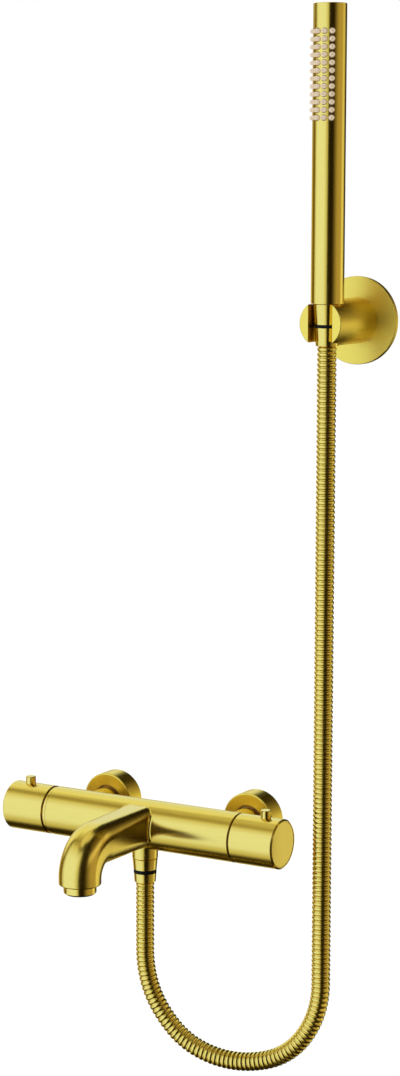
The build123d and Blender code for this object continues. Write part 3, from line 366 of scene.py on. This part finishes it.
def grained(name, colour, scale, low, high, tone, height, strength):
    """A material whose colour, shine and height follow the grain, at one scale for each axis."""
    material = bpy.data.materials.new(name)
    material.use_nodes = True
    nodes, links = material.node_tree.nodes, material.node_tree.links
    shader = nodes["Principled BSDF"]
    coordinates = nodes.new("ShaderNodeTexCoord")
    stretched = nodes.new("ShaderNodeMapping")
    stretched.inputs["Scale"].default_value = scale
    links.new(coordinates.outputs["Object"], stretched.inputs["Vector"])
    grain = nodes.new("ShaderNodeGroup")
    grain.node_tree = grain_group
    grain.inputs["Colour"].default_value = colour
    grain.inputs["Streak tone"].default_value = tone
    grain.inputs["Shine low"].default_value = low
    grain.inputs["Shine high"].default_value = high
    links.new(stretched.outputs["Vector"], grain.inputs["Coordinates"])
    links.new(grain.outputs["Colour"], shader.inputs["Base Color"])
    links.new(grain.outputs["Roughness"], shader.inputs["Roughness"])
    bump = nodes.new("ShaderNodeBump")
    bump.inputs["Distance"].default_value = height
    bump.inputs["Strength"].default_value = strength
    links.new(grain.outputs["Height"], bump.inputs["Height"])
    links.new(bump.outputs["Normal"], shader.inputs["Normal"])
    return material


print("grain scales:", GRAIN_ALONG, "along,", GRAIN_ACROSS, "across")

# %% Brushed metals
GOLD = (0.85, 0.60, 0.115, 1)
RICH_GOLD = (0.90, 0.63, 0.085, 1)
METAL_GRAIN_STRENGTH = 0.5


def brushed_metal(name, colour, along, low, high, tone=0.10, height=0.000003):
    """A metal with its grain running along X, Y or Z; None leaves it evenly grained."""
    scale = list(EVEN_GRAIN)
    if along is not None:
        scale["XYZ".index(along)] = GRAIN_ALONG
    material = grained(name, colour, scale, low, high, tone, height, METAL_GRAIN_STRENGTH)
    material.node_tree.nodes["Principled BSDF"].inputs["Metallic"].default_value = 1.0
    return material


gold_along_bar = brushed_metal("brushed_gold_along_bar", GOLD, "X", 0.19, 0.25)
gold_upright = brushed_metal("brushed_gold_upright", GOLD, "Z", 0.14, 0.20)
gold_outwards = brushed_metal("brushed_gold_outwards", RICH_GOLD, "Y", 0.27, 0.35)
gold_plate = brushed_metal("brushed_gold_plate", RICH_GOLD, "Y", 0.33, 0.41)
gold_hose = brushed_metal("gold_hose", GOLD, None, 0.20, 0.28, tone=0.05, height=0.000004)
inner_brass = brushed_metal("turned_brass", (0.62, 0.42, 0.16, 1), "X", 0.3, 0.4)
plain_steel = brushed_metal("plain_steel", (0.55, 0.55, 0.53, 1), None, 0.25, 0.35)
print("materials so far:", sorted(material.name for material in bpy.data.materials))

# %% [markdown]
# ## Plastics, rubber and ceramic
# Moulded pieces have no brushed grain, only a slight unevenness. The same noise, unstretched and
# faint in colour, roughness and height, is enough to stop them looking like paint.

# %% Moulded finishes
MOULDED_TONE = 0.04
MOULDED_GRAIN_HEIGHT = 0.00002
MOULDED_GRAIN_STRENGTH = 0.3
BLACK_PLASTIC_SHEEN = 0.12


def moulded(name, colour, low, high):
    """A plastic, rubber or ceramic with an uneven shine."""
    unevenness = (MOULDED_TONE, MOULDED_GRAIN_HEIGHT, MOULDED_GRAIN_STRENGTH)
    return grained(name, colour, EVEN_GRAIN, low, high, *unevenness)


black_plastic = moulded("black_plastic", (0.012, 0.010, 0.007, 1), 0.55, 0.7)
black_shader = black_plastic.node_tree.nodes["Principled BSDF"]
black_shader.inputs["Specular IOR Level"].default_value = BLACK_PLASTIC_SHEEN
white_plastic = moulded("white_plastic", (0.75, 0.75, 0.72, 1), 0.4, 0.5)
seal_rubber = moulded("seal_rubber", (0.02, 0.02, 0.02, 1), 0.6, 0.8)
nozzle_silicone = moulded("nozzle_silicone", (0.52, 0.39, 0.26, 1), 0.5, 0.6)
lapped_ceramic = moulded("lapped_ceramic", (0.8, 0.78, 0.73, 1), 0.15, 0.2)
print("materials so far:", len(bpy.data.materials))

# %% [markdown]
# Thin silicone lets light through. A faint painted glow of its own stands for that and
# brightens the nozzles, and an Ambient Occlusion node paints shade into the narrow hole in each
# nozzle by taking that glow out there.

# %% Painted glow for light through the silicone
# Painted light: a glow that brightens the nozzles, standing for light through thin silicone.
SILICONE_PAINTED_GLOW = 0.5
SILICONE_PAINTED_GLOW_COLOUR = (0.90, 0.72, 0.48, 1)
NOZZLE_HOLE_REACH = 0.0012
silicone_nodes, silicone_links = nozzle_silicone.node_tree.nodes, nozzle_silicone.node_tree.links
silicone_shader = silicone_nodes["Principled BSDF"]
# Painted shade: the Ambient Occlusion node darkens the glow inside each nozzle's hole.
hole_painted_shade = silicone_nodes.new("ShaderNodeAmbientOcclusion")
hole_painted_shade.inputs["Color"].default_value = SILICONE_PAINTED_GLOW_COLOUR
hole_painted_shade.inputs["Distance"].default_value = NOZZLE_HOLE_REACH
silicone_links.new(hole_painted_shade.outputs["Color"], silicone_shader.inputs["Emission Color"])
silicone_shader.inputs["Emission Strength"].default_value = SILICONE_PAINTED_GLOW
print("silicone nodes:", len(silicone_nodes))

# %% Finishes for the CAD pieces
finishes = {
    gold_along_bar: (
        "mixer_body flow_knob flow_knob_cap temperature_knob temperature_knob_cap flow_stop_ring"
    ),
    gold_upright: (
        "flow_button temperature_button mixer_hose_nut mixer_hose_sleeve aerator_housing"
        " handset_hose_sleeve handset_hose_nut handset_tube handset_top_cap"
    ),
    gold_outwards: "holder_arm hot_flange cold_flange inlet_union_nuts",
    gold_plate: "holder_plate",
    inner_brass: (
        "hot_wall_union cold_wall_union hot_inlet_tail cold_inlet_tail flow_cartridge_nut"
        " temperature_cartridge_nut outlet_nipple flow_spindle temperature_spindle"
        " handset_connector wax_element temperature_stop_ring"
    ),
    plain_steel: (
        "flow_knob_screw temperature_knob_screw flow_button_spring temperature_button_spring"
        " thermostat_spring holder_bracket bracket_screws holder_grub_screw"
    ),
    black_plastic: "mixer_swivel_ring handset_swivel_ring thermostat_housing",
    white_plastic: (
        "aerator_insert inlet_check_valves flow_cartridge thermostat_shuttle"
        " handset_inner_tube flow_limiter"
    ),
    seal_rubber: (
        "aerator_washer inlet_filter_washers flow_spindle_seal temperature_spindle_seal"
        " handset_washer"
    ),
    nozzle_silicone: "spray_nozzles",
    lapped_ceramic: "flow_fixed_disc flow_turning_disc",
}


def give_finish(obj, material):
    """Put one material in every slot of the piece."""
    if not obj.material_slots:
        obj.data.materials.append(material)
    for slot in obj.material_slots:
        slot.material = material


for material, names in finishes.items():
    for name in names.split():
        give_finish(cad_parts[name], material)
finished = {name for names in finishes.values() for name in names.split()}
print("nodes without a finish:", sorted(set(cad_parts) - finished))

# %% [markdown]
# ## The hose
# The real hose is a bent strip of metal with a rounded bead on every turn. Its line is a smooth
# spline that a few given points pull into shape: straight down from the mixer, a wide
# low bend, and straight up to the hand shower. The beads follow points read from that spline,
# ring by ring, because an array on a curve would stretch them in the bend.

# %% The hose's line
# The hand shower hangs beside the mixer's outlet and a little nearer to the wall, so the whole
# route lies in one upright plane, turned a little towards the wall.
WALL_TO_BAR = 0.074
SHOWER_TO_SIDE = 0.171
SHOWER_TO_WALL = 0.0155
LEAN = SHOWER_TO_WALL / SHOWER_TO_SIDE
route_side_and_height = [
    (0.0, -0.0528),
    (0.0, -0.0945),
    (0.0, -0.136),
    (0.0135, -0.170),
    (0.0435, -0.2005),
    (0.091, -0.2108),
    (0.142, -0.1955),
    (0.171, -0.1515),
    (0.171, -0.0975),
    (0.171, 0.43336),
]
hose_route = [Vector((x, LEAN * x - WALL_TO_BAR, z)) for x, z in route_side_and_height]
line_data = bpy.data.curves.new("hose_line", "CURVE")
line_data.dimensions = "3D"
line_data.resolution_u = 48
spline = line_data.splines.new("NURBS")
spline.points.add(len(hose_route) - 1)
for point, place in zip(spline.points, hose_route):
    point.co = (*place, 1.0)
spline.order_u = 3
spline.use_endpoint_u = True
line_object = bpy.data.objects.new("hose_line", line_data)
bpy.context.scene.collection.objects.link(line_object)
bpy.context.view_layer.update()
line_mesh = bpy.data.meshes.new_from_object(line_object)
line_points = [vertex.co.copy() for vertex in line_mesh.vertices]
bpy.data.meshes.remove(line_mesh)
bpy.data.objects.remove(line_object)
travelled = [0.0]
for here, there in zip(line_points, line_points[1:]):
    travelled.append(travelled[-1] + (there - here).length)
hose_length = travelled[-1]
print("hose line:", len(line_points), "points,", round(hose_length, 4), "m")

# %% The size of the beads
HOSE_RADIUS = 0.0083
VALLEY_RADIUS = 0.0072
HOSE_BORE_RADIUS = 0.0045
PLAIN_END = 0.0006
HOSE_BEADS = 206
RING_SIDES = 28
bead_shape = [
    # share of the way along the bead, share of its full swell
    (0.0, 0.0),
    (0.10, 0.22),
    (0.22, 0.66),
    (0.36, 0.93),
    (0.50, 1.0),
    (0.64, 0.93),
    (0.78, 0.66),
    (0.90, 0.22),
]
bead_pitch = (hose_length - 2 * PLAIN_END) / HOSE_BEADS
print("bead pitch:", round(1000 * bead_pitch, 3), "mm")

# %% Reading the line at any distance
line_directions = []
for index in range(len(line_points)):
    before = line_points[max(index - 1, 0)]
    after = line_points[min(index + 1, len(line_points) - 1)]
    line_directions.append((after - before).normalized())


def line_at(distance):
    """The place and direction of the hose's line at a distance along it."""
    after = min(max(bisect.bisect_right(travelled, distance), 1), len(travelled) - 1)
    share = (distance - travelled[after - 1]) / (travelled[after] - travelled[after - 1])
    place = line_points[after - 1].lerp(line_points[after], share)
    return place, line_directions[after - 1].lerp(line_directions[after], share).normalized()


print("halfway along:", line_at(hose_length / 2)[0])

# %% The rings of the hose
# The rings run along the outside, bead by bead, and come back through the bore.
rings = [(0.0, VALLEY_RADIUS)]
for bead in range(HOSE_BEADS):
    for share, swell in bead_shape:
        radius = VALLEY_RADIUS + (HOSE_RADIUS - VALLEY_RADIUS) * swell
        rings.append((PLAIN_END + (bead + share) * bead_pitch, radius))
rings.append((hose_length, VALLEY_RADIUS))
for step in range(HOSE_BEADS + 1):
    rings.append((hose_length * (1 - step / HOSE_BEADS), HOSE_BORE_RADIUS))
print("hose rings:", len(rings))

# %% The hose's mesh
side_way = Vector((LEAN, -1, 0)).normalized()
corners, faces = [], []
for distance, radius in rings:
    place, direction = line_at(distance)
    other_way = direction.cross(side_way).normalized()
    for step in range(RING_SIDES):
        angle = 2 * math.pi * step / RING_SIDES
        corners.append(place + radius * (math.cos(angle) * side_way + math.sin(angle) * other_way))
for ring in range(len(rings)):
    first, second = ring * RING_SIDES, (ring + 1) % len(rings) * RING_SIDES
    for step in range(RING_SIDES):
        following = (step + 1) % RING_SIDES
        faces.append((first + step, first + following, second + following, second + step))
hose_mesh = bpy.data.meshes.new("ribbed_hose")
hose_mesh.from_pydata(corners, [], faces)
hose_mesh.update()
hose = bpy.data.objects.new("ribbed_hose", hose_mesh)
bpy.context.scene.collection.objects.link(hose)
for polygon in hose_mesh.polygons:
    polygon.use_smooth = True
give_finish(hose, gold_hose)
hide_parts("shower_hose")
print("hose beads:", HOSE_BEADS, "faces:", len(faces))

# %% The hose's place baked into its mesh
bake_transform(hose)

# %% [markdown]
# ## The silicone nozzles
# On the real hand shower one soft moulding lies inside the tube and pushes a small nozzle out
# through every hole, so that lime can be rubbed off. Its nozzles have rounded tips with a small
# hole in each, so they are made here and not kept from the CAD model. One nozzle is shaped from
# a cylinder by insets, and then copied to its rows and columns.


# %% One nozzle
def pick_faces(obj, wanted):
    """Leave the object in edit mode with only those faces selected whose normal is wanted."""
    bpy.ops.object.mode_set(mode="EDIT")
    bpy.ops.mesh.select_mode(type="FACE")
    bpy.ops.mesh.select_all(action="DESELECT")
    bpy.ops.object.mode_set(mode="OBJECT")
    for face in obj.data.polygons:
        face.select = wanted(face.normal)
    bpy.ops.object.mode_set(mode="EDIT")


NOZZLE_FOOT = 0.0120
NOZZLE_SHOULDER = 0.0163
NOZZLE_RADIUS = 0.00235
NOZZLE_SIDES = 16
FACES_UP = 0.9
SHOULDER_SHARE = 0.92
NOZZLE_TALL = 0.88
NOZZLE_WIDE = 1.06
SMOOTH_BELOW = math.radians(60)
nozzle_tip = [
    # how far each ring lies inside the one before, and how far above it
    (0.00040, 0.00042),
    (0.00045, 0.00022),
    (0.00030, 0.00004),
    (0.00030, -0.00060),
]
bpy.ops.object.select_all(action="DESELECT")
bpy.ops.mesh.primitive_cylinder_add(
    vertices=NOZZLE_SIDES,
    radius=NOZZLE_RADIUS,
    depth=NOZZLE_SHOULDER - NOZZLE_FOOT,
    location=(0, 0, (NOZZLE_FOOT + NOZZLE_SHOULDER) / 2),
)
nozzle = bpy.context.active_object
nozzle.name = "nozzle"
bpy.ops.object.transform_apply(location=True, rotation=True, scale=True)
pick_faces(nozzle, lambda normal: normal.z > FACES_UP)
bpy.ops.transform.resize(value=(SHOULDER_SHARE, SHOULDER_SHARE, 1))
for inset, rise in nozzle_tip:
    bpy.ops.mesh.inset(thickness=inset)
    bpy.ops.transform.translate(value=(0, 0, rise))
bpy.ops.mesh.select_all(action="SELECT")
bpy.ops.transform.resize(value=(NOZZLE_TALL, NOZZLE_WIDE, 1), center_override=(0, 0, 0))
bpy.ops.object.mode_set(mode="OBJECT")
bpy.ops.object.shade_smooth_by_angle(angle=SMOOTH_BELOW)
print("nozzle faces:", len(nozzle.data.polygons))

# %% The strip that carries the nozzles
SHOWER_AXIS = Vector((0.171, -0.0585, 0))
STRIP_RADIUS = 0.0125
STRIP_THICKNESS = 0.0008
STRIP_SIDES = 90
SPRAY_DIRECTION = math.radians(-94)
STRIP_HALF_TURN = math.radians(52)
low_corner, high_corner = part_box("spray_nozzles")
strip_height = high_corner[2] - low_corner[2]
strip_middle = Vector((0, 0, (low_corner[2] + high_corner[2]) / 2))
bpy.ops.object.select_all(action="DESELECT")
bpy.ops.mesh.primitive_cylinder_add(
    vertices=STRIP_SIDES,
    radius=STRIP_RADIUS,
    depth=strip_height,
    end_fill_type="NOTHING",
    location=SHOWER_AXIS + strip_middle,
)
strip = bpy.context.active_object
strip.name = "soft_nozzles"
bpy.ops.object.transform_apply(location=True, rotation=True, scale=True)
spray_way = Vector((math.cos(SPRAY_DIRECTION), math.sin(SPRAY_DIRECTION), 0))
pick_faces(strip, lambda normal: normal.angle(spray_way) > STRIP_HALF_TURN)
bpy.ops.mesh.delete(type="FACE")
bpy.ops.object.mode_set(mode="OBJECT")
thickened = strip.modifiers.new("thickness", "SOLIDIFY")
thickened.thickness = STRIP_THICKNESS
thickened.offset = -1
bpy.ops.object.modifier_apply(modifier=thickened.name)
print("strip faces:", len(strip.data.polygons))

# %% Rows and columns
NOZZLE_ROWS = 12
NOZZLE_PITCH = 0.00643
column_turns = [-39, -13, 13, 39]
lying_down = Matrix.Rotation(math.pi / 2, 4, "Y")
nozzles = []
for turn in column_turns:
    outwards = Matrix.Rotation(SPRAY_DIRECTION + math.radians(turn), 4, "Z") @ lying_down
    for row in range(NOZZLE_ROWS):
        height = Vector((0, 0, (row - (NOZZLE_ROWS - 1) / 2) * NOZZLE_PITCH))
        copied = nozzle.copy()
        copied.data = nozzle.data.copy()
        bpy.context.scene.collection.objects.link(copied)
        copied.data.transform(Matrix.Translation(SHOWER_AXIS + strip_middle + height) @ outwards)
        nozzles.append(copied)
bpy.data.objects.remove(nozzle)
bpy.ops.object.select_all(action="DESELECT")
for copied in nozzles:
    copied.select_set(True)
strip.select_set(True)
bpy.context.view_layer.objects.active = strip
bpy.ops.object.join()
soft_nozzles = bpy.context.active_object
give_finish(soft_nozzles, nozzle_silicone)
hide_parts("spray_nozzles")
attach(soft_nozzles, "hand_shower")
print("nozzles:", len(nozzles), "faces:", len(soft_nozzles.data.polygons))

# %% [markdown]
# ## The springs under the stop buttons
# Each stop button rests on a small coil spring inside its knob. A rigid spring would cut into
# the pressed button, so each one is wound here from a ring of wire. A thin gap keeps its ends
# clear of what they rest on.

# %% Two button springs
SPRING_WIRE_RADIUS = 0.00035
SPRING_WIRE_SIDES = 10
SPRING_COILS = 4
STEPS_PER_COIL = 20
SAME_PLACE = 0.000001
CONTACT_GAP = 0.00003
spring_places = [
    ("flow_button_spring", "flow_control", "flow_button_press"),
    ("temperature_button_spring", "temperature_control", "temperature_button_press"),
]
for node_name, knob_body, button_joint in spring_places:
    low_corner, high_corner = [Vector(corner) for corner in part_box(node_name)]
    middle_x, middle_y = (low_corner.x + high_corner.x) / 2, (low_corner.y + high_corner.y) / 2
    spring_foot = Vector((middle_x, middle_y, low_corner.z))
    coil_radius = (high_corner.x - low_corner.x) / 2 - SPRING_WIRE_RADIUS
    coil_height = high_corner.z - low_corner.z - 2 * SPRING_WIRE_RADIUS - 2 * CONTACT_GAP
    bpy.ops.object.select_all(action="DESELECT")
    bpy.ops.mesh.primitive_circle_add(
        vertices=SPRING_WIRE_SIDES,
        radius=SPRING_WIRE_RADIUS,
        location=(coil_radius, 0, SPRING_WIRE_RADIUS + CONTACT_GAP),
        rotation=(math.pi / 2, 0, 0),
    )
    spring = bpy.context.active_object
    spring.name = node_name.replace("spring", "coil")
    bpy.ops.object.transform_apply(location=True, rotation=True, scale=True)
    winding = spring.modifiers.new("winding", "SCREW")
    winding.angle = 2 * math.pi
    winding.screw_offset = coil_height / SPRING_COILS
    winding.iterations = SPRING_COILS
    winding.steps = STEPS_PER_COIL
    winding.render_steps = STEPS_PER_COIL
    bpy.ops.object.modifier_apply(modifier=winding.name)
    bpy.ops.object.mode_set(mode="EDIT")
    bpy.ops.mesh.select_all(action="SELECT")
    bpy.ops.mesh.remove_doubles(threshold=SAME_PLACE)
    bpy.ops.mesh.fill_holes(sides=SPRING_WIRE_SIDES)
    bpy.ops.mesh.select_all(action="SELECT")
    bpy.ops.mesh.normals_make_consistent(inside=False)
    bpy.ops.transform.translate(value=spring_foot)
    bpy.ops.object.mode_set(mode="OBJECT")
    bpy.ops.object.shade_smooth_by_angle(angle=SMOOTH_BELOW)
    give_finish(spring, plain_steel)
    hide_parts(node_name)
    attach(spring, knob_body)
    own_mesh(spring)
